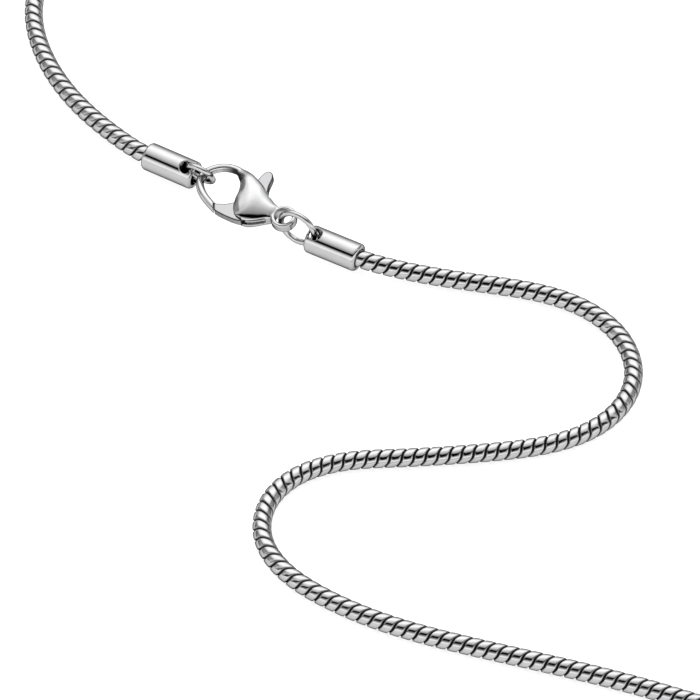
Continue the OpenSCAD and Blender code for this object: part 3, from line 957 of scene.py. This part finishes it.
def pin():
    """The pivot pin with slightly domed ends."""
    end = PIN_LENGTH / 2
    arc = np.linspace(0, np.pi / 2, PIN_ARC)[1:]
    low = [(-end, 0.0)] + [(-end + PIN_DOME * (1 - math.cos(a)), PIN_R * math.sin(a))
                           for a in arc]
    profile = low + [(-x, r) for x, r in low[::-1]]
    return to_place(revolve("lever_pin_rivet", profile, PIN_SIDES, PIVOT_X, -90))


finish_piece(clasp_body(), "necklace", "fitting_steel", fitting_steel, "clasp_body")
finish_piece(clasp_lever(), "lever", "fitting_steel", lever_steel, "clasp_lever")
finish_piece(pin(), "necklace", "fitting_steel", fitting_steel, "lever_pin")


# ---------------------------------------------------------------- stage
FLOOR_HALF = 3000.0
FLOOR_DROP = 0.00002
FLOOR_LOOK = {
    "Roughness": 0.9, "Base Color": (0.6, 0.6, 0.6, 1.0),
    "Emission Color": (1.0, 1.0, 1.0, 1.0), "Emission Strength": 0.7,
}


def floor_material():
    """Matt white with a little light of its own."""
    material = bpy.data.materials.new("floor_white")
    material.use_nodes = True
    shader = material.node_tree.nodes["Principled BSDF"]
    for key, value in FLOOR_LOOK.items():
        shader.inputs[key].default_value = value
    return material


floor = new_object("floor", [(-FLOOR_HALF, -FLOOR_HALF, 0), (FLOOR_HALF, -FLOOR_HALF, 0),
                             (FLOOR_HALF, FLOOR_HALF, 0), (-FLOOR_HALF, FLOOR_HALF, 0)],
                   [(0, 1, 2, 3)])
floor.location.z = -FLOOR_DROP
floor.data.materials.append(floor_material())

# Studio of soft light: its strength by angle, from straight below (-90) over the
# front (0) and straight above (90) to the back (180).
STUDIO = [
    (-90.0, 1.2), (0.0, 1.25), (8.0, 1.7), (13.0, 2.0), (20.0, 1.8), (27.0, 1.25),
    (31.0, 0.85), (35.0, 0.42), (38.0, 0.06), (40.0, 0.0), (53.0, 0.0), (56.0, 0.42),
    (60.0, 0.62), (66.0, 0.76), (76.0, 0.95), (86.0, 1.25), (97.0, 1.5), (107.0, 1.85),
    (117.0, 2.2), (127.0, 2.4), (137.0, 2.3), (148.0, 1.95), (159.0, 1.5), (170.0, 1.05),
    (180.0, 0.7),
]
STUDIO_TOP = 4.0
# Light from the side counts as light from the front: by how much, and from where on.
SIDE_SHARE = (0.0, 0.5)
SIDE_FRONT = (0.0, 0.3)
# Behind the object the light dims to DIM_LEVEL towards the sides: where that starts
# and ends and its share there, the same for a darker gap, and how far behind it holds.
DIM_FROM, DIM_SHARE = (0.3, 0.6), (0.0, 0.3)
GAP_FROM, GAP_SHARE = (0.65, 0.695), (0.0, 0.5)
BEHIND = (-0.1, 0.2)
DIM_LEVEL = 0.12


def studio_world():
    """Light that depends on direction alone."""
    world = bpy.data.worlds.new("studio")
    bpy.context.scene.world = world
    world.use_nodes = True
    tree = world.node_tree
    tree.nodes.clear()
    direction = node(tree, "ShaderNodeTexCoord").outputs["Generated"]
    axes = node(tree, "ShaderNodeSeparateXYZ", {0: direction}).outputs
    front = calc(tree, "MULTIPLY", axes["Y"], -1.0)
    side = calc(tree, "ABSOLUTE", axes["X"])
    wide = calc(tree, "MULTIPLY_ADD", side, ranged(tree, front, SIDE_FRONT, SIDE_SHARE), front)
    height = calc(tree, "ARCTAN2", axes["Z"], wide)
    ramp = node(tree, "ShaderNodeFloatCurve", {
        "Value": ranged(tree, height, (-math.pi / 2, math.pi))})
    curve = ramp.mapping.curves[0]
    stops = [((angle + 90.0) / 270.0, level / STUDIO_TOP) for angle, level in STUDIO]
    while len(curve.points) < len(stops):
        curve.points.new(0.5, 0.5)
    for point, stop in zip(curve.points, stops):
        point.location = stop
        point.handle_type = "VECTOR"
    ramp.mapping.update()
    strength = calc(tree, "MULTIPLY", ramp.outputs[0], STUDIO_TOP)
    dim = ranged(tree, side, DIM_FROM, DIM_SHARE, interpolation_type="SMOOTHSTEP")
    gap = ranged(tree, side, GAP_FROM, GAP_SHARE)
    behind = ranged(tree, axes["Y"], BEHIND, interpolation_type="SMOOTHSTEP")
    share = calc(tree, "MULTIPLY", calc(tree, "ADD", dim, gap), behind)
    background = node(tree, "ShaderNodeBackground", {
        "Color": (1.0, 1.0, 1.0, 1.0),
        "Strength": mix(tree, "FLOAT", share, strength, DIM_LEVEL)})
    node(tree, "ShaderNodeOutputWorld", {0: background.outputs[0]})


studio_world()

# The camera stands DISTANCE metres from the point on the floor that it looks at.
ELEVATION = math.radians(46.0)
DISTANCE = 1.0
AIM_X, AIM_Y = -0.014, -0.012
camera_data = bpy.data.cameras.new("camera")
camera_data.lens = 486.0
camera_data.sensor_width = 36.0
camera_data.clip_start = 0.01
camera_data.clip_end = 50.0
camera = bpy.data.objects.new("camera", camera_data)
bpy.context.scene.collection.objects.link(camera)
camera.location = (AIM_X, AIM_Y - DISTANCE * math.cos(ELEVATION), DISTANCE * math.sin(ELEVATION))
camera.rotation_euler = (math.pi / 2 - ELEVATION, 0.0, 0.0)
bpy.context.scene.camera = camera
bpy.context.scene.view_settings.view_transform = "Standard"
